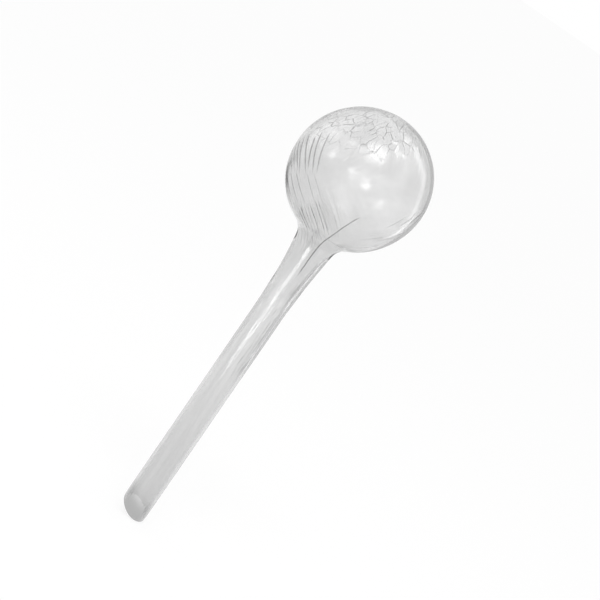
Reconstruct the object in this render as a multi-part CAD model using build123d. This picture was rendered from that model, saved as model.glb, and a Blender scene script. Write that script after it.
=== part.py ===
from build123d import *
import os
from math import radians, tan

# Watering globe: a blown clear globe on a flared neck, with a straight feed stem welded into the neck.
# The globe is filled through the stem, turned over and pushed into the soil of a pot.
# Millimetres, +Z up. The origin is on the axis at the soil line, where the neck stands on the stem.

# Globe
globe_diameter = 80.0
globe_wall = 1.8
cavity_lean = 0.6  # degrees that the blown cavity leans away from the heavier side of the wall

# Neck
neck_length = 42.0  # soil line to the underside of the globe
neck_top_diameter = 23.6  # the neck's cone where it would reach the underside of the globe
neck_blend_radius = 9.0  # outside blend between the cone and the globe

# Stem
stem_length = 142.5  # soil line to the point of the mouth
stem_diameter = 17.0
stem_wall = 2.0
mouth_bevel = 31.0  # degrees that the mouth is cut away from square
mouth_edge_break = 0.4  # chamfer on both rims of the mouth
point_heading = -52.0  # degrees from +X, the side of the mouth's point and of the heavier wall

# Spigot of the stem in the socket of the neck
spigot_length = 8.0
spigot_wall = 1.0
spigot_lead_in = 0.3
joint_clearance = 0.05  # radial gap of the weld
spigot_end_gap = 0.2  # lets the neck seat on the stem's shoulder

globe_radius = globe_diameter / 2
neck_top_radius = neck_top_diameter / 2
stem_radius = stem_diameter / 2
bore_radius = stem_radius - stem_wall
spigot_radius = bore_radius + spigot_wall
socket_depth = spigot_length + spigot_end_gap
globe_centre_height = neck_length + globe_radius


def globe_form(ball_radius, foot_radius, foot_height, top_radius, blend_radius):
    """Solid of revolution: a cone that widens upwards from its foot, a blend, and a ball on top."""
    widening = (top_radius - foot_radius) / (neck_length - foot_height)
    with BuildSketch(Plane.XZ) as section:
        with Locations((0, globe_centre_height)):
            Circle(ball_radius)
        with BuildLine():
            Polyline(
                (0, foot_height),
                (foot_radius, foot_height),
                (top_radius + widening * globe_radius, globe_centre_height),
                (0, globe_centre_height),
                close=True,
            )
        make_face()
        split(bisect_by=Plane.YZ)
        throat = section.vertices().sort_by_distance((top_radius, neck_length))[0]
        fillet(throat, blend_radius)
    return revolve(section.sketch, Axis.Z)


def globe_bulb():
    """The blown globe and its neck in one wall, open at the socket."""
    outside = globe_form(globe_radius, stem_radius, 0, neck_top_radius, neck_blend_radius)
    cavity = globe_form(
        globe_radius - globe_wall,
        bore_radius,
        spigot_length,
        neck_top_radius - globe_wall,
        neck_blend_radius + globe_wall,
    )
    cavity = Rot(0, -cavity_lean, 0) * cavity
    socket = extrude(Circle(spigot_radius + joint_clearance), socket_depth)
    return Rot(0, 0, point_heading) * (outside - cavity - socket)


def stem_tube():
    """The straight stem, with a bevelled mouth below and a spigot for the neck above."""
    spigot = extrude(Circle(spigot_radius), spigot_length)
    spigot = chamfer(spigot.edges().sort_by(Axis.Z)[-1], spigot_lead_in)
    tube = extrude(Circle(stem_radius), -stem_length) + spigot
    tube -= Pos(0, 0, -stem_length) * extrude(Circle(bore_radius), stem_length + spigot_length)
    mouth_centre = (0, 0, stem_radius * tan(radians(mouth_bevel)) - stem_length)
    mouth = Plane(mouth_centre).rotated((0, mouth_bevel, 0))
    tube = split(tube, bisect_by=mouth, keep=Keep.TOP)
    tube = chamfer(tube.faces().sort_by(Axis.Z)[0].edges(), mouth_edge_break)
    return Rot(0, 0, point_heading) * tube


os.makedirs("parts", exist_ok=True)
export_step(globe_bulb(), "parts/globe_bulb.step")
export_step(stem_tube(), "parts/stem_tube.step")
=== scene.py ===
"""Looks of the watering globe: a blown, crackled clear globe and its smooth stem, on a white studio floor."""

import logging
import math
from dataclasses import dataclass
from enum import Enum

import bmesh
import bpy
import numpy as np
from mathutils import Matrix, Vector


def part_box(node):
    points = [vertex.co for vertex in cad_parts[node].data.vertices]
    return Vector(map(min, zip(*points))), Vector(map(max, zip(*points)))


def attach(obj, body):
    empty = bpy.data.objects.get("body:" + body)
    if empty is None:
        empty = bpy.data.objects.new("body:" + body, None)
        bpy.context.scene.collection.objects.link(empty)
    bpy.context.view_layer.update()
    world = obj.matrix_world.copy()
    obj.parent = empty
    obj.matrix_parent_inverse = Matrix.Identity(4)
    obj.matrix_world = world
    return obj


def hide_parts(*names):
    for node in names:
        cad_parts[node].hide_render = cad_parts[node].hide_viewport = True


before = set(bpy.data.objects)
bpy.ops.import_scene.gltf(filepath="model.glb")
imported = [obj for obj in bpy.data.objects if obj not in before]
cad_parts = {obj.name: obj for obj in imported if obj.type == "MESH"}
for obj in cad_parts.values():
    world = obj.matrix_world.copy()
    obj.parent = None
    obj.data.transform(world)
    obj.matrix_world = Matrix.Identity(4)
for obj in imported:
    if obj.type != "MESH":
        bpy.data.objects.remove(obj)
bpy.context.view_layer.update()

MM = 0.001
ROLL = math.radians(34.57)
GLOBE_MIDDLE = (0.0, 0.0, 0.082)
WHITE = "#ffffff"
TINY = 1e-6
CUT_TOLERANCE = 1e-7
LOG = logging.getLogger("watering_globe")


class Mark(Enum):
    """Marks on the faces of a piece that its plastic answers to."""

    CREASE_OFFSET = "crease_offset"
    CREASE_STRENGTH = "crease_strength"
    FUSED = "fused"
    GREYED = "greyed"
    INSIDE = "inside"
    RIPPLED = "rippled"


class Rays(Enum):
    """Rays that look at a stage piece, by their names in the light path."""

    CAMERA = "Is Camera Ray"
    GLOSSY = "Is Glossy Ray"
    TRANSMISSION = "Is Transmission Ray"


def linear(hex_colour: str) -> tuple[float, float, float, float]:
    """Turn an sRGB hex colour into linear light.

    Args:
        hex_colour: six hex digits after a hash sign.

    Returns:
        Red, green, blue and an alpha of one.
    """
    parts = [int(hex_colour[i:i + 2], 16) / 255 for i in (1, 3, 5)]
    light = [c / 12.92 if c <= 0.04045 else ((c + 0.055) / 1.055) ** 2.4 for c in parts]
    return (*light, 1.0)


def add_node(tree: bpy.types.NodeTree, kind: str, links: dict | None = None, **settings) -> bpy.types.Node:
    """Add a node with its settings, socket values and links.

    Args:
        tree: node tree that gets the node.
        kind: Blender's name for the node type.
        links: input socket name or number to a value, or to an output socket that feeds it.
        settings: properties of the node itself.

    Returns:
        The new node.
    """
    node = tree.nodes.new(kind)
    for name, value in settings.items():
        setattr(node, name, value)
    for name, value in (links or {}).items():
        if isinstance(value, bpy.types.NodeSocket):
            tree.links.new(value, node.inputs[name])
        else:
            node.inputs[name].default_value = value
    return node


def new_material(name: str) -> bpy.types.Material:
    """Make a material with an empty node tree.

    Args:
        name: name of the material.

    Returns:
        The new material.
    """
    made = bpy.data.materials.new(name)
    made.use_nodes = True
    made.node_tree.nodes.clear()
    return made


def seen_directly(tree: bpy.types.NodeTree) -> bpy.types.NodeSocket:
    """Tell the rays that look at a stage piece, straight or through the plastic, from those that light it.

    Args:
        tree: node tree of the stage piece or of the world.

    Returns:
        An output that is one for the looking rays.
    """
    path = add_node(tree, "ShaderNodeLightPath")
    looks = path.outputs[Rays.CAMERA.value]
    for other in (Rays.GLOSSY, Rays.TRANSMISSION):
        looks = add_node(
            tree, "ShaderNodeMath", {0: looks, 1: path.outputs[other.value]}, operation="MAXIMUM"
        ).outputs["Value"]
    return looks


def select_only(piece: bpy.types.Object) -> None:
    """Make a piece the only selected and the active object.

    Args:
        piece: the object to select.
    """
    bpy.ops.object.select_all(action="DESELECT")
    piece.select_set(True)
    bpy.context.view_layer.objects.active = piece


def flip_faces(piece: bpy.types.Object) -> None:
    """Turn all faces of a piece round.

    Args:
        piece: the object whose faces turn.
    """
    select_only(piece)
    bpy.ops.object.mode_set(mode="EDIT")
    bpy.ops.mesh.select_all(action="SELECT")
    bpy.ops.mesh.flip_normals()
    bpy.ops.object.mode_set(mode="OBJECT")


def read_vectors(items: bpy.types.bpy_prop_collection, name: str) -> np.ndarray:
    """Read one vector from each vertex of a mesh.

    Args:
        items: the vertices.
        name: the vector's name.

    Returns:
        One row per vertex.
    """
    values = np.empty(len(items) * 3)
    items.foreach_get(name, values)
    return values.reshape(-1, 3)


def corner_points(mesh: bpy.types.Mesh) -> np.ndarray:
    """List the vertex number of every face corner of a mesh.

    Args:
        mesh: mesh of the piece.

    Returns:
        One vertex number per face corner.
    """
    numbers = np.empty(len(mesh.loops), np.int32)
    mesh.loops.foreach_get("vertex_index", numbers)
    return numbers


def mark_corners(mesh: bpy.types.Mesh, mark: Mark, values: np.ndarray) -> None:
    """Write a mark on every face corner of a mesh.

    Args:
        mesh: mesh of the piece.
        mark: which mark.
        values: one number per face corner.
    """
    layer = mesh.attributes.get(mark.value) or mesh.attributes.new(mark.value, "FLOAT", "CORNER")
    layer.data.foreach_set("value", values.astype(np.float32))


@dataclass(frozen=True)
class ClearPlastic:
    """Clear PVC: it shows what is behind it, greyer the longer the way through it, with painted shade in its
    creases and on some grey marks, and a sharp, slightly wavy gloss.
    """

    name: str
    clear_tint: str
    cloudy_tint: str
    roughness: tuple[float, float]
    haze_patch_mm: float
    flow_radius_mm: float
    flow_twist: float
    flow_mm: tuple[float, float, float]
    ripple_mm: tuple[float, float, float]
    ripple_height_mm: float
    # crease_shade_tint: painted shade, the dark lines in the creases.
    crease_shade_tint: str = "#1e1e1e"
    # grey_and_shade_tint: grey at the neck, and painted shade where the ball's lower front and the stem are
    # marked.
    grey_and_shade_tint: str = "#b8b8b8"
    absorption: str = "#bababa"
    absorption_density: float = 55.0
    ior: float = 1.53
    fused_ior: float = 1.0005
    inside_roughness: float = 0.04
    crease_sink_mm: float = 0.02
    twist_heights_mm: tuple[float, float] = (40.0, 90.0)
    streak_levels: tuple[float, float] = (0.35, 0.7)
    streak_detail: float = 4.0
    haze_levels: tuple[float, float] = (0.3, 0.7)
    haze_detail: float = 4.0
    ripple_detail: float = 2.0

    def crease(self, tree: bpy.types.NodeTree) -> bpy.types.NodeSocket:
        """Draw the thin crease lines from the piece's marks, for the painted shade and the sink in the
        creases.

        Args:
            tree: node tree of the material.

        Returns:
            An output that is one in the middle of the strongest creases.
        """
        offset = add_node(tree, "ShaderNodeAttribute", attribute_name=Mark.CREASE_OFFSET.value).outputs["Fac"]
        strength = add_node(
            tree, "ShaderNodeAttribute", attribute_name=Mark.CREASE_STRENGTH.value
        ).outputs["Fac"]
        away = add_node(tree, "ShaderNodeMath", {0: offset}, operation="ABSOLUTE").outputs["Value"]
        line = add_node(
            tree,
            "ShaderNodeMapRange",
            {"Value": away, "From Min": 1.0, "From Max": 0.0},
            interpolation_type="SMOOTHSTEP",
        ).outputs["Result"]
        return add_node(tree, "ShaderNodeMath", {0: line, 1: strength}, operation="MULTIPLY").outputs["Value"]

    def along_flow(self, tree: bpy.types.NodeTree, place: bpy.types.NodeSocket) -> bpy.types.NodeSocket:
        """Bend the coordinates so that patterns run along the axis and close in where the piece is narrow.

        Args:
            tree: node tree of the material.
            place: object coordinates.

        Returns:
            An output with the place on a cylinder round the axis, at the same height.
        """
        height = add_node(tree, "ShaderNodeSeparateXYZ", {0: place}).outputs["Z"]
        low, high = (level * MM for level in self.twist_heights_mm)
        turn = add_node(
            tree,
            "ShaderNodeMapRange",
            {"Value": height, "From Min": low, "From Max": high, "To Max": self.flow_twist},
        ).outputs["Result"]
        twisted = add_node(
            tree, "ShaderNodeVectorRotate", {"Vector": place, "Angle": turn}, rotation_type="Z_AXIS"
        ).outputs["Vector"]
        flat = add_node(
            tree, "ShaderNodeVectorMath", {0: twisted, 1: (1, 1, 0)}, operation="MULTIPLY"
        ).outputs[0]
        ring = add_node(tree, "ShaderNodeVectorMath", {0: flat}, operation="NORMALIZE").outputs[0]
        rise = add_node(
            tree, "ShaderNodeVectorMath", {0: place, 1: (0, 0, 1)}, operation="MULTIPLY"
        ).outputs[0]
        width = (self.flow_radius_mm * MM,) * 3
        return add_node(
            tree, "ShaderNodeVectorMath", {0: ring, 1: width, 2: rise}, operation="MULTIPLY_ADD"
        ).outputs[0]

    def noise(
        self,
        tree: bpy.types.NodeTree,
        place: bpy.types.NodeSocket,
        size_mm: tuple[float, float, float],
        detail: float,
    ) -> bpy.types.NodeSocket:
        """Spread a soft noise over the piece.

        Args:
            tree: node tree of the material.
            place: object coordinates.
            size_mm: size of its patches along each axis.
            detail: how many finer layers it has.

        Returns:
            An output between zero and one.
        """
        scaled = add_node(
            tree, "ShaderNodeMapping", {"Vector": place, "Scale": tuple(1 / (size * MM) for size in size_mm)}
        )
        return add_node(
            tree, "ShaderNodeTexNoise", {"Vector": scaled.outputs["Vector"], "Scale": 1.0, "Detail": detail}
        ).outputs["Fac"]

    def colour(
        self, tree: bpy.types.NodeTree, flowing: bpy.types.NodeSocket, crease: bpy.types.NodeSocket
    ) -> bpy.types.NodeSocket:
        """Tint the light that passes: cloudy streaks along the flow, grey marks with painted shade in places,
        and painted shade as dark lines in the creases.

        Args:
            tree: node tree of the material.
            flowing: coordinates along the flow.
            crease: how strongly a crease shows.

        Returns:
            An output with the colour.
        """
        flow = self.noise(tree, flowing, self.flow_mm, self.streak_detail)
        low, high = self.streak_levels
        streaks = add_node(
            tree, "ShaderNodeMapRange", {"Value": flow, "From Min": low, "From Max": high}
        ).outputs["Result"]
        greyed = add_node(tree, "ShaderNodeAttribute", attribute_name=Mark.GREYED.value).outputs["Fac"]
        tint = linear(self.clear_tint)
        # Painted shade: the grey marks darken the globe's lower front and the stem towards its tip, and the
        # crease tint darkens the creases.
        layers = ((streaks, self.cloudy_tint), (greyed, self.grey_and_shade_tint), (crease, self.crease_shade_tint))
        for share, other in layers:
            mixed = add_node(tree, "ShaderNodeMix", {0: share, 6: tint, 7: linear(other)}, data_type="RGBA")
            tint = mixed.outputs[2]
        return tint

    def gloss(self, tree: bpy.types.NodeTree, place: bpy.types.NodeSocket) -> bpy.types.NodeSocket:
        """Make the gloss sharp outside, hazy in patches, and softer inside, where no mould touched it.

        Args:
            tree: node tree of the material.
            place: object coordinates.

        Returns:
            An output with the roughness.
        """
        patches = self.noise(tree, place, (self.haze_patch_mm,) * 3, self.haze_detail)
        low, high = self.haze_levels
        sharp, hazy = self.roughness
        haze = add_node(
            tree,
            "ShaderNodeMapRange",
            {"Value": patches, "From Min": low, "From Max": high, "To Min": sharp, "To Max": hazy},
        ).outputs["Result"]
        inside = add_node(tree, "ShaderNodeAttribute", attribute_name=Mark.INSIDE.value).outputs["Fac"]
        return add_node(
            tree, "ShaderNodeMath", {0: inside, 1: self.inside_roughness, 2: haze}, operation="MULTIPLY_ADD"
        ).outputs["Value"]

    def relief(
        self, tree: bpy.types.NodeTree, flowing: bpy.types.NodeSocket, crease: bpy.types.NodeSocket
    ) -> bpy.types.NodeSocket:
        """Add relief finer than the mesh: ripples along the flow and the sharp bottoms of the creases.

        Args:
            tree: node tree of the material.
            flowing: coordinates along the flow.
            crease: how strongly a crease shows.

        Returns:
            An output with the bent normal.
        """
        rippled = add_node(tree, "ShaderNodeAttribute", attribute_name=Mark.RIPPLED.value).outputs["Fac"]
        swing = add_node(
            tree, "ShaderNodeMath", {0: rippled, 1: self.ripple_height_mm}, operation="MULTIPLY"
        ).outputs["Value"]
        waves = self.noise(tree, flowing, self.ripple_mm, self.ripple_detail)
        ripple = add_node(
            tree, "ShaderNodeMath", {0: waves, 1: swing}, operation="MULTIPLY"
        ).outputs["Value"]
        height = add_node(
            tree, "ShaderNodeMath", {0: crease, 1: -self.crease_sink_mm, 2: ripple}, operation="MULTIPLY_ADD"
        ).outputs["Value"]
        bump = add_node(tree, "ShaderNodeBump", {"Height": height, "Strength": 1.0, "Distance": MM})
        return bump.outputs["Normal"]

    def material(self) -> bpy.types.Material:
        """Build the material's nodes.

        Returns:
            The finished material.
        """
        made = new_material(self.name)
        tree = made.node_tree
        place = add_node(tree, "ShaderNodeTexCoord").outputs["Object"]
        flowing = self.along_flow(tree, place)
        crease = self.crease(tree)
        # A welded face lies inside fused plastic, so light passes it straight on.
        fused = add_node(tree, "ShaderNodeAttribute", attribute_name=Mark.FUSED.value).outputs["Fac"]
        ior = add_node(
            tree, "ShaderNodeMapRange", {"Value": fused, "To Min": self.ior, "To Max": self.fused_ior}
        )
        skin = add_node(
            tree,
            "ShaderNodeBsdfPrincipled",
            {"Base Color": self.colour(tree, flowing, crease), "Roughness": self.gloss(tree, place),
             "IOR": ior.outputs["Result"], "Transmission Weight": 1.0,
             "Normal": self.relief(tree, flowing, crease)},
        )
        # Absorption in the body: the longer the way through the wall, the greyer.
        body = add_node(
            tree,
            "ShaderNodeVolumeAbsorption",
            {"Color": linear(self.absorption), "Density": self.absorption_density},
        )
        add_node(
            tree,
            "ShaderNodeOutputMaterial",
            {"Surface": skin.outputs["BSDF"], "Volume": body.outputs["Volume"]},
        )
        return made


@dataclass(frozen=True)
class SkinSection:
    """Half-section of one skin of the globe: ball, blend and neck, in metres from the axis and the foot."""

    ball_radius: float
    centre_height: float
    foot_radius: float
    foot_height: float
    top_radius: float
    top_height: float
    blend_radius: float

    def corners(self) -> tuple[Vector, Vector, Vector]:
        """Find where the blend's arc lies.

        Returns:
            Its centre, its point on the ball and its point on the neck's cone.
        """
        foot = Vector((self.foot_radius, self.foot_height))
        up = (Vector((self.top_radius, self.top_height)) - foot).normalized()
        out = Vector((up.y, -up.x))
        ball = Vector((0.0, self.centre_height))
        reach = self.ball_radius + self.blend_radius
        start = foot + out * self.blend_radius - ball
        along = -start.dot(up) - math.sqrt(start.dot(up) ** 2 - start.length_squared + reach**2)
        centre = ball + start + up * along
        return centre, ball + (centre - ball) * (self.ball_radius / reach), centre - out * self.blend_radius

    def neck_line(self, step: float) -> list[Vector]:
        """Walk from the ball down the blend and the cone.

        Args:
            step: distance between points.

        Returns:
            Points in the half-section, the first one below the ball's own rim.
        """
        centre, on_ball, on_cone = self.corners()
        first, last = on_ball - centre, on_cone - centre
        sweep = last.angle(first)
        turn = 1 if first.x * last.y - first.y * last.x > 0 else -1
        count = max(4, round(sweep * self.blend_radius / step))
        points = []
        for i in range(1, count + 1):
            angle = turn * sweep * i / count
            c, s = math.cos(angle), math.sin(angle)
            points.append(centre + Vector((first.x * c - first.y * s, first.x * s + first.y * c)))
        foot = Vector((self.foot_radius, self.foot_height))
        count = max(2, round((foot - on_cone).length / step))
        points += [on_cone.lerp(foot, i / count) for i in range(1, count + 1)]
        if self.foot_height > 0:
            points.append(Vector((self.foot_radius, 0.0)))
        return points

    def spin(self, name: str, rings: int, turns: int, step: float) -> bpy.types.Object:
        """Model the skin: half a circle, its end drawn down the neck, spun round the axis.

        Args:
            name: name of the new object.
            rings: points round the ball's circle.
            turns: steps round the axis.
            step: distance between rings on the neck.

        Returns:
            An open skin with its faces pointing outwards.
        """
        bpy.ops.object.select_all(action="DESELECT")
        bpy.ops.mesh.primitive_circle_add(
            vertices=rings,
            radius=self.ball_radius,
            location=(0, 0, self.centre_height),
            rotation=(math.pi / 2, 0, 0),
        )
        skin = bpy.context.object
        skin.name = name
        bpy.ops.object.transform_apply(location=True, rotation=True, scale=True)
        on_ball = self.corners()[1]
        bpy.ops.object.mode_set(mode="EDIT")
        bpy.ops.mesh.select_all(action="SELECT")
        bpy.ops.mesh.bisect(plane_co=(0, 0, 0), plane_no=(1, 0, 0), clear_inner=True, threshold=CUT_TOLERANCE)
        bpy.ops.mesh.select_all(action="SELECT")
        bpy.ops.mesh.bisect(
            plane_co=(0, 0, on_ball.y), plane_no=(0, 0, 1), clear_inner=True, threshold=CUT_TOLERANCE
        )
        bpy.ops.mesh.select_all(action="DESELECT")
        mesh = bmesh.from_edit_mesh(skin.data)
        mesh.select_mode = {"VERT"}
        end = min(mesh.verts, key=lambda v: v.co.z)
        end.select_set(True)
        bmesh.update_edit_mesh(skin.data)
        here = Vector((end.co.x, end.co.z))
        for point in self.neck_line(step):
            move = (point.x - here.x, 0, point.y - here.y)
            bpy.ops.mesh.extrude_region_move(TRANSFORM_OT_translate={"value": move})
            here = point
        bpy.ops.mesh.select_all(action="SELECT")
        bpy.ops.mesh.spin(steps=turns, angle=2 * math.pi, center=(0, 0, 0), axis=(0, 0, 1))
        bpy.ops.mesh.select_all(action="SELECT")
        bpy.ops.mesh.remove_doubles(threshold=TINY)
        bpy.ops.mesh.normals_make_consistent(inside=False)
        bpy.ops.object.mode_set(mode="OBJECT")
        return skin


@dataclass(frozen=True)
class Unevenness:
    """Gentle swells of a wall that cooled unevenly, in millimetres."""

    height: float
    shortest: float
    longest: float
    seed: int
    waves: int = 14

    def at(self, points: np.ndarray) -> np.ndarray:
        """Add up the swells at each point.

        Args:
            points: places in millimetres, one per row.

        Returns:
            Height at each point, between minus and plus the height.
        """
        chance = np.random.default_rng(self.seed)
        total = np.zeros(len(points))
        for _ in range(self.waves):
            way = chance.normal(size=3)
            way *= 2 * math.pi / (np.linalg.norm(way) * chance.uniform(self.shortest, self.longest))
            total += np.sin(points @ way + chance.uniform(0, 2 * math.pi))
        return self.height * np.clip(total / math.sqrt(self.waves), -1, 1)


@dataclass(frozen=True)
class SkinPlaces:
    """Where points lie on the globe's outer skin, in millimetres and radians."""

    points: np.ndarray
    arc: np.ndarray
    azimuth: np.ndarray
    radius: np.ndarray

    @classmethod
    def on(cls, points: np.ndarray, line: np.ndarray) -> "SkinPlaces":
        """Find the places of points.

        Args:
            points: points on the skin, one per row.
            line: radius and height of the half-section, from the crown down.

        Returns:
            Their places, measured from the crown along the half-section.
        """
        arcs = np.concatenate([[0], np.cumsum(np.linalg.norm(np.diff(line, axis=0), axis=1))])
        return cls(
            points,
            np.interp(-points[:, 2], -line[:, 1], arcs),
            np.arctan2(points[:, 1], points[:, 0]),
            np.hypot(points[:, 0], points[:, 1]),
        )


@dataclass(frozen=True)
class FlowCrease:
    """One long crease drawn up from the neck, in degrees round the axis and millimetres above the foot."""

    low_azimuth: float
    high_azimuth: float
    low: float
    high: float
    strength: float
    bend: float = 1.0
    run_in: float = 6.0
    run_out: float = 3.0

    def offset(self, where: SkinPlaces) -> np.ndarray:
        """Measure how far points lie to one side of the crease.

        Args:
            where: the points.

        Returns:
            Distance of each point in millimetres, round the axis.
        """
        share = np.clip((where.points[:, 2] - self.low) / (self.high - self.low), 0, 1)
        middle = np.radians(self.low_azimuth + (self.high_azimuth - self.low_azimuth) * share**self.bend)
        turn = (where.azimuth - middle + math.pi) % (2 * math.pi) - math.pi
        return turn * where.radius

    def fade(self, where: SkinPlaces) -> np.ndarray:
        """Give the crease's strength at points, running out at both ends.

        Args:
            where: the points.

        Returns:
            Strength at each point, none beyond the ends.
        """
        height = where.points[:, 2]
        rise = np.clip((height - self.low) / self.run_in, 0, 1)
        rise *= np.clip((self.high - height) / self.run_out, 0, 1)
        return self.strength * rise * rise * (3 - 2 * rise)


@dataclass(frozen=True)
class CreaseFan:
    """Long creases side by side, with each value given for the first and the last of them."""

    count: int
    azimuths: tuple[float, float]
    leans: tuple[float, float]
    lows: tuple[float, float]
    highs: tuple[float, float]
    strengths: tuple[float, float]
    seed: int
    stray: float = 1.3
    height_stray: float = 2.0
    lean_shares: tuple[float, float] = (0.85, 1.15)
    strength_shares: tuple[float, float] = (0.8, 1.0)

    def creases(self) -> list[FlowCrease]:
        """Lay the creases out, each a little out of step with the next.

        Returns:
            The creases, one after the other round the axis.
        """
        chance = np.random.default_rng(self.seed)
        made = []
        for share in np.linspace(0, 1, self.count):
            spans = (self.azimuths, self.leans, self.lows, self.highs, self.strengths)
            azimuth, lean, low, high, strength = (first + (last - first) * share for first, last in spans)
            azimuth += chance.uniform(-self.stray, self.stray)
            low += chance.uniform(-self.height_stray, self.height_stray)
            high += chance.uniform(-self.height_stray, self.height_stray)
            half = lean * chance.uniform(*self.lean_shares) * (high - low) / 2
            strength *= chance.uniform(*self.strength_shares)
            made.append(FlowCrease(azimuth + half, azimuth - half, low, high, strength))
        return made


@dataclass(frozen=True)
class Crackle:
    """Crackle of a blown skin: cells, short on the crown and long down the sides, with creases between.

    Sizes are in millimetres. The crackle is loud over the crown and towards one side, and quiet elsewhere.
    Its lines, painted in as shade, are drawn wider than the real ones, which are too fine to show.
    """

    size_at: tuple[float, ...] = (0.0, 50.0, 70.0, 165.0)
    cell_widths: tuple[float, ...] = (4.2, 4.2, 7.0, 6.0)
    cell_lengths: tuple[float, ...] = (6.5, 8.0, 26.0, 40.0)
    longest_arc: float = 175.0
    arc_steps: int = 700
    stagger: tuple[float, float] = (0.48, 0.4)
    wander_down: Unevenness = Unevenness(0.8, 6, 13, 13)
    wander_round: Unevenness = Unevenness(0.8, 5, 12, 14)
    breaks: Unevenness = Unevenness(1.0, 6, 13, 15)
    unbroken: float = 0.78
    cell_strengths: tuple[float, float] = (0.36, 0.92)
    crease_depth: float = 0.02
    long_depth: float = 0.06
    relief_width: float = 1.4
    plate_tilt: float = 0.3
    steepest_plate: float = 1.5
    plate_edge: float = 0.35
    cell_lines_at: tuple[float, ...] = (-36.0, -12.0)
    cell_half_widths: tuple[float, ...] = (0.75, 0.38)
    long_lines_at: tuple[float, ...] = (-36.0, -12.0, 12.0, 36.0)
    long_half_widths: tuple[float, ...] = (1.6, 0.5, 0.5, 0.85)
    long_claim: tuple[float, float] = (1.0, 2.2)
    thinnest_end: float = 0.4
    faintest_end: float = 0.02
    crown_lean: float = 0.42
    loud_crown: tuple[float, float] = (0.44, 0.66)
    quiet_share: float = 0.04
    centre_height: float = 82.0
    seed: int = 11
    draws: int = 4096
    pair_factors: tuple[int, int] = (7919, 104729)
    batch: int = 4000
    flow_creases: tuple[FlowCrease, ...] = (
        FlowCrease(-79.0, -71.0, 20.0, 70.0, 1.0, 4.0),
        FlowCrease(104.0, 109.0, 24.0, 66.0, 0.7, 4.0),
    )
    fans: tuple[CreaseFan, ...] = (
        CreaseFan(8, (-161, -129), (2.0, 0.75), (65, 77), (81, 97), (1.0, 0.7), 1),
        CreaseFan(5, (-153, -108), (2.0, 1.7), (55, 60), (68, 74), (1.0, 0.4), 2, 3.4),
        CreaseFan(7, (-156, -96), (1.4, 1.0), (34, 38), (56, 59), (0.5, 0.22), 5, 3.6),
        CreaseFan(5, (-40, -10), (-0.9, -0.9), (72, 80), (82, 92), (0.55, 0.7), 3),
        CreaseFan(4, (-47, -28), (-2.0, -1.6), (57, 63), (66, 73), (0.6, 0.6), 4),
    )

    def long_creases(self) -> list[FlowCrease]:
        """List the single creases and those of every fan."""
        return [*self.flow_creases, *(crease for fan in self.fans for crease in fan.creases())]

    def rows(self, arc: np.ndarray) -> np.ndarray:
        """Count the rows of cells from the crown down to an arc.

        Args:
            arc: distances from the crown down the skin.

        Returns:
            Number of rows, with fractions, for each distance.
        """
        grid = np.linspace(0, self.longest_arc, self.arc_steps + 1)
        middle = (grid[1:] + grid[:-1]) / 2
        steps = np.diff(grid) / np.interp(middle, self.size_at, self.cell_lengths)
        return np.interp(arc, grid, np.concatenate([[0], np.cumsum(steps)]))

    def cells(self, line: np.ndarray) -> np.ndarray:
        """Scatter the cells' centres in staggered rows down the skin.

        Args:
            line: radius and height of the half-section, from the crown down.

        Returns:
            Row and azimuth of each cell.
        """
        chance = np.random.default_rng(self.seed)
        arcs = np.concatenate([[0], np.cumsum(np.linalg.norm(np.diff(line, axis=0), axis=1))])
        rows = self.rows(arcs)
        down, across = self.stagger
        found = []
        for row in np.arange(0.5, rows[-1], 1.0):
            width = float(np.interp(np.interp(row, rows, arcs), self.size_at, self.cell_widths))
            count = max(4, round(2 * math.pi * float(np.interp(row, rows, line[:, 0])) / width))
            spread = (np.arange(count) + chance.uniform(-across, across, count) + chance.uniform()) / count
            found.append(np.stack([row + chance.uniform(-down, down, count), spread * 2 * math.pi], axis=1))
        return np.concatenate(found)

    def reach(self, where: SkinPlaces, cells: np.ndarray) -> tuple[np.ndarray, np.ndarray]:
        """Measure from points to cells in cell sizes.

        Args:
            where: the points.
            cells: row and azimuth of cells, the same for all points or listed for each.

        Returns:
            Steps down the skin and round it, one row per point.
        """
        down = self.rows(where.arc + self.wander_down.at(where.points))[:, None] - cells[..., 0]
        turn = (where.azimuth[:, None] - cells[..., 1] + math.pi) % (2 * math.pi) - math.pi
        aside = turn * where.radius[:, None] + self.wander_round.at(where.points)[:, None]
        return down, aside / np.interp(where.arc, self.size_at, self.cell_widths)[:, None]

    def nearest(self, where: SkinPlaces, cells: np.ndarray) -> np.ndarray:
        """Find the two cells nearest to each point.

        Args:
            where: the points.
            cells: row and azimuth of every cell.

        Returns:
            Two cell numbers per point, the lower number first.
        """
        pairs = np.empty((len(where.arc), 2), int)
        for part in np.array_split(np.arange(len(where.arc)), max(1, len(where.arc) // self.batch)):
            some = SkinPlaces(where.points[part], where.arc[part], where.azimuth[part], where.radius[part])
            down, across = self.reach(some, cells[None])
            pairs[part] = np.argpartition(down**2 + across**2, 1, axis=1)[:, :2]
        return np.sort(pairs, axis=1)

    def crease(
        self, where: SkinPlaces, cells: np.ndarray, pairs: np.ndarray
    ) -> tuple[np.ndarray, np.ndarray]:
        """Measure points against the crease between two cells.

        Args:
            where: the points.
            cells: row and azimuth of every cell.
            pairs: the two cells of each point.

        Returns:
            Distance to one side of the crease in millimetres, and the crease's strength.
        """
        down, across = self.reach(where, cells[pairs])
        gap_down, gap_across = down[:, 0] - down[:, 1], across[:, 0] - across[:, 1]
        gap = np.maximum(np.hypot(gap_down, gap_across), TINY)
        length = np.interp(where.arc, self.size_at, self.cell_lengths)
        width = np.interp(where.arc, self.size_at, self.cell_widths)
        slope = np.hypot(gap_down / gap / length, gap_across / gap / width)
        squares = down**2 + across**2
        offset = (squares[:, 1] - squares[:, 0]) / (2 * gap) / slope
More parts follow.
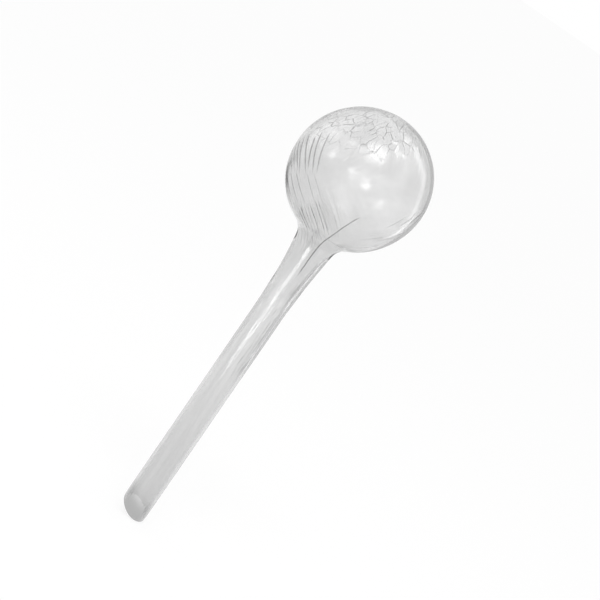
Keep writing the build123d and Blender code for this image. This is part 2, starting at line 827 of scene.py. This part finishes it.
        # One fixed draw for each pair of cells.
        chances = np.random.default_rng(self.seed + 1).uniform(*self.cell_strengths, self.draws)
        strength = chances[pairs @ np.array(self.pair_factors) % self.draws]
        return offset, strength * self.loudness(where)

    def cell_half_width(self, where: SkinPlaces) -> np.ndarray:
        """Give the half width of the creases between cells, which grows towards one side of the globe."""
        return np.interp(where.points[:, 0], self.cell_lines_at, self.cell_half_widths)

    def long_half_width(self, where: SkinPlaces) -> np.ndarray:
        """Give the half width of the long creases, which grows towards the sides of the globe."""
        return np.interp(where.points[:, 0], self.long_lines_at, self.long_half_widths)

    def loudness(self, where: SkinPlaces) -> np.ndarray:
        """Fade the crackle out below the crown and break its lines up.

        Args:
            where: the points.

        Returns:
            Share of the full crackle at each point.
        """
        way = where.points - np.array([0, 0, self.centre_height])
        way /= np.maximum(np.linalg.norm(way, axis=1), TINY)[:, None]
        crown = np.interp(way[:, 2] - self.crown_lean * way[:, 0], self.loud_crown, (0, 1))
        shown = self.quiet_share + (1 - self.quiet_share) * crown
        return shown * np.clip(self.unbroken + self.breaks.at(where.points), 0, 1)

    def depth(self, where: SkinPlaces, cells: np.ndarray) -> np.ndarray:
        """Measure how deep the relief is at points of the skin.

        Args:
            where: the points.
            cells: row and azimuth of every cell.

        Returns:
            Depth below the smooth skin.
        """
        pairs = self.nearest(where, cells)
        offset, strength = self.crease(where, cells, pairs)
        wide = self.cell_half_width(where) * self.relief_width
        deep = strength * self.crease_depth * np.exp(-((offset / wide) ** 2))
        wide = self.long_half_width(where) * self.relief_width
        for long_crease in self.long_creases():
            beside = long_crease.offset(where) / wide
            deep += self.long_depth * long_crease.fade(where) * np.exp(-(beside**2))
        return deep

    def plates(self, where: SkinPlaces, cells: np.ndarray) -> np.ndarray:
        """Tilt each cell of the crackle its own way.

        Args:
            where: the points.
            cells: row and azimuth of every cell.

        Returns:
            Depth below the smooth skin.
        """
        pairs = self.nearest(where, cells)
        tilts = np.random.default_rng(self.seed + 6).normal(size=(len(cells), 2))
        tilts = np.clip(tilts, -self.steepest_plate, self.steepest_plate)[pairs]
        down, across = self.reach(where, cells[pairs])
        heights = tilts[..., 0] * down + tilts[..., 1] * across
        first = 0.5 + 0.5 * np.tanh(self.crease(where, cells, pairs)[0] / self.plate_edge)
        tilted = heights[:, 0] * first + heights[:, 1] * (1 - first)
        return self.plate_tilt * (1 + np.clip(tilted, -1, 1))

    def lines(
        self, middles: SkinPlaces, corners: SkinPlaces, face_of: np.ndarray, cells: np.ndarray
    ) -> tuple[np.ndarray, np.ndarray]:
        """Choose each face's nearest crease and measure its corners against it.

        Args:
            middles: middle of each face.
            corners: each face corner.
            face_of: face of each corner.
            cells: row and azimuth of every cell.

        Returns:
            Distance of each corner to one side of its face's crease in half widths, and the strength there.
        """
        pairs = self.nearest(middles, cells)
        offset, strength = self.crease(corners, cells, pairs[face_of])
        offset = offset / self.cell_half_width(corners)
        closest = np.clip(np.abs(self.crease(middles, cells, pairs)[0]), *self.long_claim)
        for long_crease in self.long_creases():
            beside = np.abs(long_crease.offset(middles))
            nearer = (long_crease.fade(middles) > self.faintest_end) & (beside < closest)
            closest = np.where(nearer, beside, closest)
            fade = long_crease.fade(corners)
            taper = self.thinnest_end + (1 - self.thinnest_end) * fade
            beside = long_crease.offset(corners) / (self.long_half_width(corners) * taper)
            offset = np.where(nearer[face_of], beside, offset)
            strength = np.where(nearer[face_of], np.sqrt(fade), strength)
        return offset, strength


@dataclass
class ClearGlobe:
    """The blown globe with its neck: a crackled outer skin and a smoother inner one that leans a little.

    Sizes of the form are in metres. Those of relief and tone are in millimetres from the frame's origin.
    """

    ball_rings: int = 400
    turns: int = 372
    neck_step: float = 1.1 * MM
    inner_rings: int = 160
    inner_turns: int = 96
    inner_neck_step: float = 1.0 * MM
    wall: float = 1.8 * MM
    bore_radius: float = 6.5 * MM
    bore_height: float = 8.2 * MM
    neck_length: float = 42.0 * MM
    neck_top_radius: float = 11.8 * MM
    blend_radius: float = 9.0 * MM
    inner_blend_radius: float = 20.0 * MM
    lean: float = math.radians(0.6)
    heavy_side: float = math.radians(-52.0)
    throat: tuple[float, ...] = (30.0, 36.0, 54.0, 62.0)
    throat_at_sides: float = 0.06
    throat_gain: float = 1.7
    throat_cut: float = 0.6
    throat_pull: float = 0.5
    throat_passes: int = 300
    waist: float = 0.45
    waist_top: float = 36.0
    plain_foot: float = 14.0
    grey_at: tuple[float, ...] = (0.0, 30.0, 39.0, 44.0, 49.0, 66.0)
    neck_greys: tuple[float, ...] = (0.0675, 0.15, 0.18, 0.33, 0.15, 0.0)
    # Painted shade on the lower front of the ball, towards the neck.
    front_shade_way: tuple[float, float, float] = (-0.42, -0.72, -0.55)
    front_shade_facing: tuple[float, float] = (0.55, 0.95)
    front_shade_from: tuple[float, float] = (44.0, 58.0)
    front_shade_grey: float = 0.52
    neck_ripples_at: tuple[float, ...] = (8.0, 36.0, 50.0)
    neck_ripples: tuple[float, ...] = (0.26, 0.12, 0.03)
    neck_front: tuple[float, float] = (0.55, 0.85)
    neck_front_shares: tuple[float, float] = (0.2, 1.0)
    ripple_heights: tuple[float, ...] = (46.0, 54.0, 68.0, 80.0)
    ripple_sides: tuple[float, ...] = (-18.0, -10.0, 4.0, 16.0)
    ripples_back: tuple[float, ...] = (-10.0, 4.0, 20.0)
    ripple_shares: tuple[float, ...] = (0.2, 0.0, 0.9)
    inner_ripple: float = 0.05
    crackle: Crackle = Crackle()
    outer_swell: Unevenness = Unevenness(0.10, 12, 34, 3)
    outer_swell_sides: tuple[float, float] = (-10.0, 12.0)
    outer_swell_shares: tuple[float, float] = (1.0, 0.12)
    inner_swell: Unevenness = Unevenness(0.16, 18, 40, 5)
    inner_swell_heights: tuple[float, float] = (10.0, 50.0)
    inner_swell_sides: tuple[float, float] = (0.0, 26.0)
    inner_swell_shares: tuple[float, float] = (1.0, 0.1)
    plated_way: tuple[float, float, float] = (-0.15, -0.87, 0.47)
    plated_facing: tuple[float, float] = (0.89, 0.95)
    flat_way: tuple[float, float, float] = (-0.794, 0.106, 0.599)
    flat_from: tuple[float, float] = (28.0, 60.0)
    flat_share: float = 0.028
    smooth_angle: float = math.radians(50.0)
    foot_facing: float = -0.9
    foot_level: float = 0.1 * MM

    def build(self) -> bpy.types.Object:
        """Model both skins and close them at the foot.

        Returns:
            The closed shell.
        """
        low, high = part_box("globe_bulb")
        ball_radius = (high.x - low.x) / 2
        centre = high.z - ball_radius
        foot_radius = (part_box("stem_tube")[1].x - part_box("stem_tube")[0].x) / 2
        outer = SkinSection(
            ball_radius, centre, foot_radius, 0.0, self.neck_top_radius, self.neck_length, self.blend_radius
        )
        inner = SkinSection(
            ball_radius - self.wall, centre, self.bore_radius, self.bore_height,
            self.neck_top_radius - self.wall, self.neck_length, self.inner_blend_radius,
        )
        shell = outer.spin("clear_globe", self.ball_rings, self.turns, self.neck_step)
        self.soften_throat(shell)
        self.sink_relief(shell.data)
        lining = inner.spin("globe_lining", self.inner_rings, self.inner_turns, self.inner_neck_step)
        self.lean_lining(lining)
        return self.close(shell, lining)

    def soften_throat(self, shell: bpy.types.Object) -> None:
        """Run the ball softly into the blend, fully in front and behind and hardly at the sides.

        Args:
            shell: the outer skin.
        """
        select_only(shell)
        points = read_vectors(shell.data.vertices, "co") / MM
        fore = np.abs(points[:, 1]) / np.maximum(np.hypot(points[:, 0], points[:, 1]), TINY)
        weights = np.interp(points[:, 2], self.throat, (0, 1, 1, 0))
        weights *= np.clip(self.throat_gain * fore - self.throat_cut, self.throat_at_sides, 1)
        group = shell.vertex_groups.new(name="throat")
        for i in np.flatnonzero(weights):
            group.add([int(i)], float(weights[i]), "REPLACE")
        smooth = shell.modifiers.new("throat", "SMOOTH")
        smooth.factor = self.throat_pull
        smooth.iterations = self.throat_passes
        smooth.vertex_group = group.name
        bpy.ops.object.modifier_apply(modifier="throat")
        shell.vertex_groups.clear()

    def sink_relief(self, mesh: bpy.types.Mesh) -> None:
        """Sink the crackle and the swells into the outer skin and mark its creases, ripples and greys.

        Args:
            mesh: mesh of the smooth outer skin.
        """
        points = read_vectors(mesh.vertices, "co") / MM
        normals = read_vectors(mesh.vertices, "normal")
        heights, first = np.unique(np.round(points[:, 2], 4), return_index=True)
        line = np.stack([np.hypot(points[first, 0], points[first, 1]), heights], axis=1)[::-1]
        cells = self.crackle.cells(line)
        self.mark_creases(mesh, points, line, cells)
        corners = corner_points(mesh)
        mark_corners(mesh, Mark.RIPPLED, self.outer_ripples(points)[corners])
        mark_corners(mesh, Mark.GREYED, self.outer_grey(points)[corners])
        deep = self.relief(SkinPlaces.on(points, line), cells)
        mesh.vertices.foreach_set("co", (self.flattened(points - normals * deep[:, None]) * MM).ravel())
        mesh.update()

    def mark_creases(
        self, mesh: bpy.types.Mesh, points: np.ndarray, line: np.ndarray, cells: np.ndarray
    ) -> None:
        """Mark how each face corner lies to its nearest crease.

        Args:
            mesh: mesh of the smooth outer skin.
            points: its vertices in millimetres.
            line: radius and height of the half-section, from the crown down.
            cells: row and azimuth of every cell of the crackle.
        """
        corners = corner_points(mesh)
        sides = np.empty(len(mesh.polygons), np.int32)
        mesh.polygons.foreach_get("loop_total", sides)
        face_of = np.repeat(np.arange(len(sides)), sides)
        sums = [np.bincount(face_of, points[corners, i]) for i in range(3)]
        middle = np.stack(sums, axis=1) / sides[:, None]
        offset, strength = self.crackle.lines(
            SkinPlaces.on(middle, line), SkinPlaces.on(points[corners], line), face_of, cells
        )
        mark_corners(mesh, Mark.CREASE_OFFSET, offset)
        mark_corners(mesh, Mark.CREASE_STRENGTH, strength)

    def relief(self, where: SkinPlaces, cells: np.ndarray) -> np.ndarray:
        """Add up the swells, the crackle and the waist of the neck.

        Args:
            where: places on the smooth outer skin.
            cells: row and azimuth of every cell of the crackle.

        Returns:
            Depth below the smooth skin, none at the foot.
        """
        points = where.points
        deep = self.outer_swell.at(points) + self.outer_swell.height
        deep *= np.interp(points[:, 0], self.outer_swell_sides, self.outer_swell_shares)
        plated = np.interp(self.facing(points, self.plated_way), self.plated_facing, (0, 1))
        deep += self.crackle.plates(where, cells) * plated
        deep += self.crackle.depth(where, cells)
        deep += self.waist * np.sin(np.clip(points[:, 2] / self.waist_top, 0, 1) * math.pi)
        return deep * np.clip(points[:, 2] / self.plain_foot, 0, 1)

    def facing(self, points: np.ndarray, way: tuple[float, float, float]) -> np.ndarray:
        """Measure how far points of the ball face one way.

        Args:
            points: places in millimetres, one per row.
            way: the direction, about one long.

        Returns:
            One for points that face that way, and less for others.
        """
        out = points - np.array([0, 0, self.crackle.centre_height])
        return out @ np.array(way) / np.linalg.norm(out, axis=1)

    def neck_grey(self, points: np.ndarray) -> np.ndarray:
        """Give how grey the neck and the throat are."""
        return np.interp(points[:, 2], self.grey_at, self.neck_greys)

    def outer_grey(self, points: np.ndarray) -> np.ndarray:
        """Give how grey the outer skin is, at the neck, and with painted shade on the lower front of the
        ball.

        Args:
            points: places in millimetres, one per row.

        Returns:
            Share of the grey tint at each point.
        """
        # Painted shade: darker on the lower front of the ball.
        front_shade = self.front_shade_grey * np.interp(self.facing(points, self.front_shade_way), self.front_shade_facing, (0, 1))
        front_shade *= np.interp(points[:, 2], self.front_shade_from, (0, 1))
        return self.neck_grey(points) + front_shade

    def rippled(self, points: np.ndarray) -> np.ndarray:
        """Tell where the wall has flow ripples: below the middle, away from the sides."""
        level = np.interp(points[:, 2], self.ripple_heights, (0, 1, 1, 0))
        return level * np.interp(points[:, 0], self.ripple_sides, (0, 1, 1, 0))

    def outer_ripples(self, points: np.ndarray) -> np.ndarray:
        """Give how strong the ripples of the outer skin are, on the front of the neck and round the ball.

        Args:
            points: places in millimetres, one per row.

        Returns:
            Share of the full ripple at each point.
        """
        aside = np.maximum(np.hypot(points[:, 0], points[:, 1]), TINY)
        front = np.interp(-points[:, 1] / aside, self.neck_front, self.neck_front_shares)
        neck = np.interp(points[:, 2], self.neck_ripples_at, self.neck_ripples) * front
        return neck + self.rippled(points) * np.interp(points[:, 1], self.ripples_back, self.ripple_shares)

    def flattened(self, points: np.ndarray) -> np.ndarray:
        """Press the ball a little flat along one direction, as the real one is out of round.

        Args:
            points: places in millimetres, one per row.

        Returns:
            The moved places; the neck stays.
        """
        way = np.array(self.flat_way)
        out = (points - np.array([0, 0, self.crackle.centre_height])) @ way
        share = self.flat_share * np.interp(points[:, 2], self.flat_from, (0, 1))
        return points - (share * out)[:, None] * way

    def lean_lining(self, lining: bpy.types.Object) -> None:
        """Lean the lining away from the heavy side, swell it and turn its faces to the inside.

        Args:
            lining: the inner skin.
        """
        points = read_vectors(lining.data.vertices, "co") / MM
        normals = read_vectors(lining.data.vertices, "normal")
        swell = self.inner_swell.at(points) * np.interp(points[:, 2], self.inner_swell_heights, (0, 1))
        swell *= np.interp(points[:, 0], self.inner_swell_sides, self.inner_swell_shares)
        points += normals * swell[:, None]
        shift = -math.tan(self.lean) * points[:, 2]
        points[:, 0] += shift * math.cos(self.heavy_side)
        points[:, 1] += shift * math.sin(self.heavy_side)
        lining.data.vertices.foreach_set("co", (self.flattened(points) * MM).ravel())
        lining.data.update()
        flip_faces(lining)
        corners = corner_points(lining.data)
        ripples = self.inner_ripple + (1 - self.inner_ripple) * self.rippled(points)
        mark_corners(lining.data, Mark.INSIDE, np.ones(len(corners)))
        mark_corners(lining.data, Mark.RIPPLED, ripples[corners])
        mark_corners(lining.data, Mark.GREYED, self.neck_grey(points)[corners])

    def close(self, shell: bpy.types.Object, lining: bpy.types.Object) -> bpy.types.Object:
        """Join the two skins and bridge them at the foot.

        Args:
            shell: outer skin.
            lining: inner skin.

        Returns:
            The joined shell.
        """
        select_only(shell)
        lining.select_set(True)
        bpy.ops.object.join()
        bpy.ops.object.mode_set(mode="EDIT")
        bpy.ops.mesh.select_all(action="DESELECT")
        mesh = bmesh.from_edit_mesh(shell.data)
        for edge in mesh.edges:
            edge.select_set(edge.is_boundary)
        bmesh.update_edit_mesh(shell.data)
        bpy.ops.mesh.bridge_edge_loops()
        bpy.ops.object.mode_set(mode="OBJECT")
        bpy.ops.object.shade_smooth_by_angle(angle=self.smooth_angle)
        foot = []
        for face in shell.data.polygons:
            below = face.normal.z < self.foot_facing and face.center.z < self.foot_level
            foot += [float(below)] * len(face.vertices)
        mark_corners(shell.data, Mark.FUSED, np.array(foot))
        return shell

    def dress(self, shell: bpy.types.Object, finish: ClearPlastic) -> None:
        """Give the globe its finish and its place in the frame.

        Args:
            shell: the finished mesh.
            finish: its plastic.
        """
        shell.data.materials.clear()
        shell.data.materials.append(finish.material())
        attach(shell, "root")
        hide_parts("globe_bulb")


@dataclass
class ClearStem:
    """The straight stem: a drawn tube with faint die lines, sawn to a slanted mouth."""

    sides: int = 192
    ring_step: float = 2.0 * MM
    wall: float = 2.0 * MM
    seam_gap: float = 0.02 * MM
    sawn_off: float = 2.0 * MM
    mouth_bevel: float = math.radians(31.0)
    point_side: float = math.radians(-52.0)
    mouth_below: float = -50.0 * MM
    end_facing: float = 0.9
    rim_break: float = 0.4 * MM
    rim_segments: int = 3
    rim_reach: float = 1.1
    mouth_softness: float = 0.85
    smooth_angle: float = math.radians(40.0)
    # Painted shade: grey near the mouth on the front, and darker down the stem towards its tip.
    plain_end: float = 32.0 * MM
    mouth_shade_depth: float = 14.0 * MM
    mouth_shade_fade: float = 0.65
    mouth_shade_side: float = 9.0 * MM
    mouth_shade_rings: int = 5
    tip_shade_length: float = 142.0 * MM
    tip_shade_end: float = 0.22
    ripple_front: tuple[float, float] = (0.55, 0.85)

    def tube(self, name: str, radius: float, top: float, bottom: float) -> bpy.types.Object:
        """Draw one skin of the tube down from its top.

        Args:
            name: name of the new object.
            radius: radius of the skin.
            top: height of its upper end.
            bottom: height of its lower end.

        Returns:
            An open skin with its faces pointing outwards.
        """
        bpy.ops.object.select_all(action="DESELECT")
        bpy.ops.mesh.primitive_circle_add(vertices=self.sides, radius=radius, location=(0, 0, top))
        skin = bpy.context.object
        skin.name = name
        bpy.ops.object.transform_apply(location=True, rotation=True, scale=True)
        bpy.ops.object.mode_set(mode="EDIT")
        bpy.ops.mesh.select_all(action="SELECT")
        ringed = top - bottom - self.plain_end
        count = round(ringed / self.ring_step)
        for step in [ringed / count] * count + [self.plain_end]:
            bpy.ops.mesh.extrude_region_move(TRANSFORM_OT_translate={"value": (0, 0, -step)})
        bpy.ops.mesh.select_all(action="SELECT")
        bpy.ops.mesh.normals_make_consistent(inside=False)
        bpy.ops.object.mode_set(mode="OBJECT")
        return skin

    def build(self) -> bpy.types.Object:
        """Model the tube, saw its mouth and break the rims.

        Returns:
            The closed tube.
        """
        low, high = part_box("stem_tube")
        radius = (high.x - low.x) / 2
        bottom = low.z - self.sawn_off
        stem = self.tube("clear_stem", radius, -self.seam_gap, bottom)
        bore = self.tube("stem_bore", radius - self.wall, -self.seam_gap, bottom)
        flip_faces(bore)
        mark_corners(bore.data, Mark.INSIDE, np.ones(len(bore.data.loops)))
        select_only(stem)
        bore.select_set(True)
        bpy.ops.object.join()
        slant = math.tan(self.mouth_bevel)
        centre = Vector((0, 0, low.z + radius * slant))
        way = Vector((slant * math.cos(self.point_side), slant * math.sin(self.point_side), 1)).normalized()
        bpy.ops.object.mode_set(mode="EDIT")
        self.saw_mouth(centre, way)
        self.close_ends(stem.data)
        self.break_rims(stem.data, centre, way)
        bpy.ops.object.mode_set(mode="OBJECT")
        bpy.ops.object.shade_smooth_by_angle(angle=self.smooth_angle)
        self.mark(stem.data, centre, way)
        return stem

    def saw_mouth(self, centre: Vector, way: Vector) -> None:
        """Cut the tube in edit mode off at the mouth, and ring the stretch that gets painted shade.

        Args:
            centre: middle of the mouth.
            way: direction square to the mouth, into the stem.
        """
        bpy.ops.mesh.select_all(action="SELECT")
        bpy.ops.mesh.bisect(plane_co=centre, plane_no=way, clear_inner=True, threshold=CUT_TOLERANCE)
        for ring in range(1, self.mouth_shade_rings + 1):
            above = centre + way * (self.mouth_shade_depth * ring / self.mouth_shade_rings)
            bpy.ops.mesh.select_all(action="SELECT")
            bpy.ops.mesh.bisect(plane_co=above, plane_no=way, threshold=CUT_TOLERANCE)

    def close_ends(self, data: bpy.types.Mesh) -> None:
        """Bridge both skins of the tube in edit mode, first at the mouth and then at the upper end.

        Args:
            data: mesh of the stem.
        """
        for at_mouth in (True, False):
            bpy.ops.mesh.select_all(action="DESELECT")
            mesh = bmesh.from_edit_mesh(data)
            for edge in mesh.edges:
                if edge.is_boundary:
                    edge.select_set((edge.verts[0].co.z < self.mouth_below) == at_mouth)
            bmesh.update_edit_mesh(data)
            bpy.ops.mesh.bridge_edge_loops()

    def break_rims(self, data: bpy.types.Mesh, centre: Vector, way: Vector) -> None:
        """Bevel both rims of the mouth in edit mode.

        Args:
            data: mesh of the stem.
            centre: middle of the mouth.
            way: direction square to the mouth, into the stem.
        """
        bpy.ops.mesh.select_all(action="DESELECT")
        mesh = bmesh.from_edit_mesh(data)
        for edge in mesh.edges:
            flat = [abs((vert.co - centre).dot(way)) < TINY for vert in edge.verts]
            if all(flat) and any(abs(face.normal.dot(way)) < self.end_facing for face in edge.link_faces):
                edge.select_set(True)
        bmesh.update_edit_mesh(data)
        bpy.ops.mesh.bevel(offset=self.rim_break, segments=self.rim_segments, affect="EDGES")

    def mark(self, mesh: bpy.types.Mesh, centre: Vector, way: Vector) -> None:
        """Mark the welded upper end, the mouth melted round, the painted shade near the mouth and towards the
        tip, and the die lines.

        Args:
            mesh: mesh of the stem.
            centre: middle of the mouth.
            way: direction square to the mouth, into the stem.
        """
        places = read_vectors(mesh.vertices, "co")
        corners = corner_points(mesh)
        depths = (places - np.array(centre)) @ np.array(way)
        fused = []
        for face in mesh.polygons:
            mouth = all(depths[i] < self.rim_break * self.rim_reach for i in face.vertices)
            level = 1.0 if face.normal.z > self.end_facing else self.mouth_softness if mouth else 0.0
            fused += [level] * len(face.vertices)
        mark_corners(mesh, Mark.FUSED, np.array(fused))
        # Painted shade: grey near the mouth on the front, and darker down the stem towards its tip.
        near = np.clip((self.mouth_shade_depth - depths) / (self.mouth_shade_fade * self.mouth_shade_depth), 0, 1)
        mouth_shade = near * np.clip(0.5 - places[:, 1] / self.mouth_shade_side, 0, 1)
        tip_shade = np.minimum(-places[:, 2] / self.tip_shade_length, 1) * self.tip_shade_end
        mark_corners(mesh, Mark.GREYED, np.maximum(mouth_shade, tip_shade)[corners])
        rippled = np.interp(-places[:, 1] / places[:, 1].max(), self.ripple_front, (0, 1))
        mark_corners(mesh, Mark.RIPPLED, rippled[corners])

    def dress(self, stem: bpy.types.Object, finish: ClearPlastic) -> None:
        """Give the stem its finish and its place in the frame.

        Args:
            stem: the finished mesh.
            finish: its plastic.
        """
        stem.data.materials.clear()
        stem.data.materials.append(finish.material())
        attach(stem, "root")
        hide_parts("stem_tube")


@dataclass(frozen=True)
class SoftBox:
    """A glowing panel with soft edges that the plastic mirrors.

    With a hole it is a ring, and with a turn it is the half or the quarter of one to one side of its place.
    """

    name: str
    place: tuple[float, float, float]
    aim: tuple[float, float, float]
    size: tuple[float, float]
    glow: float
    softness: float = 0.5
    lights_floor: bool = False
    hole: float = 0.0
    turn: float | None = None
    quarter: bool = False
    seen_through: bool = True
    hole_fade: float = 0.01

    def material(self) -> bpy.types.Material:
        """Make a glow that fades out towards the panel's edges, and inside its hole if it has one.

        Returns:
            The finished material.
        """
        made = new_material(self.name)
        tree = made.node_tree
        place = add_node(tree, "ShaderNodeTexCoord").outputs["Object"]
        middle = add_node(
            tree, "ShaderNodeTexGradient", {"Vector": place}, gradient_type="SPHERICAL"
        ).outputs["Fac"]
        shown = add_node(
            tree,
            "ShaderNodeMapRange",
            {"Value": middle, "From Max": self.softness},
            interpolation_type="SMOOTHSTEP",
        ).outputs["Result"]
        if self.hole:
            rim = 1 - self.hole
            ring = add_node(
                tree,
                "ShaderNodeMapRange",
                {"Value": middle, "From Min": rim, "From Max": rim - self.hole_fade},
            )
            shown = add_node(
                tree, "ShaderNodeMath", {0: shown, 1: ring.outputs["Result"]}, operation="MULTIPLY"
            ).outputs["Value"]
        glow = add_node(tree, "ShaderNodeEmission", {"Color": linear(WHITE), "Strength": self.glow})
        clear = add_node(tree, "ShaderNodeBsdfTransparent")
        both = add_node(tree, "ShaderNodeMixShader", {0: shown, 1: clear.outputs[0], 2: glow.outputs[0]})
        add_node(tree, "ShaderNodeOutputMaterial", {"Surface": both.outputs[0]})
        return made

    def hang(self) -> None:
        """Hang the panel so that it faces its aim."""
        bpy.ops.object.select_all(action="DESELECT")
        bpy.ops.mesh.primitive_plane_add(size=2, location=self.place)
        panel = bpy.context.object
        panel.name = self.name
        panel.scale = (self.size[0] / 2, self.size[1] / 2, 1)
        facing = (Vector(self.place) - Vector(self.aim)).to_track_quat("Z", "Y").to_matrix()
        if self.turn is not None:
            panel.data.transform(Matrix.Translation((-1, -1 if self.quarter else 0, 0)))
            facing = facing @ Matrix.Rotation(self.turn, 3, "Z")
        panel.rotation_euler = facing.to_euler()
        panel.data.materials.append(self.material())
        panel.visible_camera = False
        panel.visible_shadow = False
        panel.visible_diffuse = self.lights_floor
        panel.visible_transmission = self.seen_through


@dataclass
class Studio:
    """White floor, soft light and the camera."""

    camera_distance: float = 1.2
    camera_elevation: float = math.radians(10.0)
    camera_roll: float = ROLL
    aim: tuple[float, float, float] = (0.0104, 0.0, 0.00985)
    picture_width: float = 0.3236
    clip_end: float = 200.0
    sky_light: float = 0.7
    floor_width: float = 80.0
    paper_tint: str = "#f4f4f4"
    floor_share: float = 0.8
    floor_glow: float = 1.06
    floor_gap: float = 0.2 * MM
    boxes: tuple[SoftBox, ...] = (
        SoftBox("key_box", (-0.02, -0.72, 1.165), GLOBE_MIDDLE, (1.1, 1.0), 6.0, 0.9, lights_floor=True),
        SoftBox("front_box", (0.34, -1.32, 0.17), GLOBE_MIDDLE, (0.6, 0.6), 5.5, 0.9),
        SoftBox("back_box", (0.65, -0.06, 1.32), GLOBE_MIDDLE, (0.24, 0.24), 4.5, 0.8),
        SoftBox("side_box", (-1.08, -0.72, 0.45), GLOBE_MIDDLE, (0.5, 0.6), 4.2, 0.9),
        SoftBox("window_box", (-0.83, -0.57, 0.98), GLOBE_MIDDLE, (0.35, 0.35), 3.0, 0.9),
        # A strip before the stem for its long streak, and a flag that keeps the strip's image off the globe.
        SoftBox(
            "stem_strip", (-0.025, -0.11, -0.037), (0, 0, -0.037), (0.06, 0.10), 8.0, 0.7, seen_through=False
        ),
        SoftBox(
            "strip_flag", (-0.025, -0.096, 0.015), (-0.025, -0.096, -1), (0.26, 0.078), 0.9, 0.05,
            seen_through=False,
        ),
        SoftBox("edge_strip", (0.30, 0.19, -0.02), (0, 0, -0.02), (0.035, 0.30), 2.2, 0.5),
        # Grey cards and a thin bright ring behind the globe, which its wall bends into the bands at its rim.
        SoftBox("right_card", (0, 0.443, 0.004), GLOBE_MIDDLE, (0.9, 0.9), 0.62, 0.1, hole=0.309, turn=-ROLL),
        SoftBox(
            "right_line", (0, 0.442, 0.004), GLOBE_MIDDLE, (0.284, 0.284), 1.4, 0.04, hole=0.80,
            turn=-ROLL - math.radians(38.0), quarter=True,
        ),
        SoftBox("left_card", (-0.27, 0.36, 0.16), (0, 0, 0.16), (0.40, 0.75), 0.75, 0.2),
    )

    def camera(self) -> None:
        """Stand the camera in front, a little above, and roll it as the photograph does."""
        data = bpy.data.cameras.new("camera")
        data.lens = data.sensor_width * self.camera_distance / self.picture_width
        data.clip_end = self.clip_end
        view = bpy.data.objects.new("camera", data)
        bpy.context.scene.collection.objects.link(view)
        back = Vector((0, -math.cos(self.camera_elevation), math.sin(self.camera_elevation)))
        view.location = Vector(self.aim) + back * self.camera_distance
        turn = (-back).to_track_quat("-Z", "Y").to_matrix()
        view.rotation_euler = (turn @ Matrix.Rotation(self.camera_roll, 3, "Z")).to_euler()
        bpy.context.scene.camera = view

    def world(self) -> None:
        """White all round where it is seen, softer where it lights the floor."""
        made = bpy.data.worlds.new("white_studio")
        bpy.context.scene.world = made
        made.use_nodes = True
        tree = made.node_tree
        tree.nodes.clear()
        strength = add_node(
            tree,
            "ShaderNodeMapRange",
            {"Value": seen_directly(tree), "To Min": self.sky_light, "To Max": 1.0},
        )
        sky = add_node(
            tree, "ShaderNodeBackground", {"Color": linear(WHITE), "Strength": strength.outputs["Result"]}
        )
        add_node(tree, "ShaderNodeOutputWorld", {"Surface": sky.outputs["Background"]})

    def floor(self) -> None:
        """Lay a white floor under the mouth that keeps a faint shadow."""
        bpy.ops.object.select_all(action="DESELECT")
        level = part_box("stem_tube")[0].z - self.floor_gap
        bpy.ops.mesh.primitive_plane_add(size=self.floor_width, location=(0, 0, level))
        floor = bpy.context.object
        floor.name = "floor"
        made = new_material("white_paper")
        tree = made.node_tree
        share = add_node(
            tree, "ShaderNodeMath", {0: seen_directly(tree), 1: self.floor_share}, operation="MULTIPLY"
        )
        paper = add_node(tree, "ShaderNodeBsdfDiffuse", {"Color": linear(self.paper_tint)})
        glow = add_node(tree, "ShaderNodeEmission", {"Color": linear(WHITE), "Strength": self.floor_glow})
        both = add_node(
            tree, "ShaderNodeMixShader", {0: share.outputs["Value"], 1: paper.outputs[0], 2: glow.outputs[0]}
        )
        add_node(tree, "ShaderNodeOutputMaterial", {"Surface": both.outputs[0]})
        floor.data.materials.append(made)

    def build(self) -> None:
        """Set up the whole stage."""
        bpy.context.scene.view_settings.view_transform = "Standard"
        self.world()
        self.floor()
        for box in self.boxes:
            box.hang()
        self.camera()


# Clear PVC blown into a mould: see-through and glossy, grey where the wall is thick, with thin crackle lines.
BLOWN = ClearPlastic(
    name="clear_pvc_blown",
    clear_tint="#fcfcfc",
    cloudy_tint="#efefef",
    roughness=(0.01, 0.05),
    haze_patch_mm=18.0,
    flow_radius_mm=40.0,
    flow_twist=1.8,
    flow_mm=(22.0, 22.0, 26.0),
    ripple_mm=(2.4, 2.4, 30.0),
    ripple_height_mm=0.6,
)
# Clear PVC drawn through a die: the same body, with faint lines and streaks along the tube.
DRAWN = ClearPlastic(
    name="clear_pvc_extruded",
    clear_tint="#f8f8f8",
    cloudy_tint="#ededed",
    roughness=(0.02, 0.06),
    haze_patch_mm=22.0,
    flow_radius_mm=8.5,
    flow_twist=0.0,
    flow_mm=(3.5, 3.5, 60.0),
    ripple_mm=(1.5, 1.5, 26.0),
    ripple_height_mm=0.5,
)


def main() -> None:
    """Build the globe, the stem and the studio, and note each piece."""
    logging.basicConfig(level=logging.INFO)
    globe = ClearGlobe()
    shell = globe.build()
    globe.dress(shell, BLOWN)
    LOG.info("globe: %d faces", len(shell.data.polygons))
    stem = ClearStem()
    tube = stem.build()
    stem.dress(tube, DRAWN)
    LOG.info("stem: %d faces", len(tube.data.polygons))
    Studio().build()


if __name__ == "__main__":
    main()
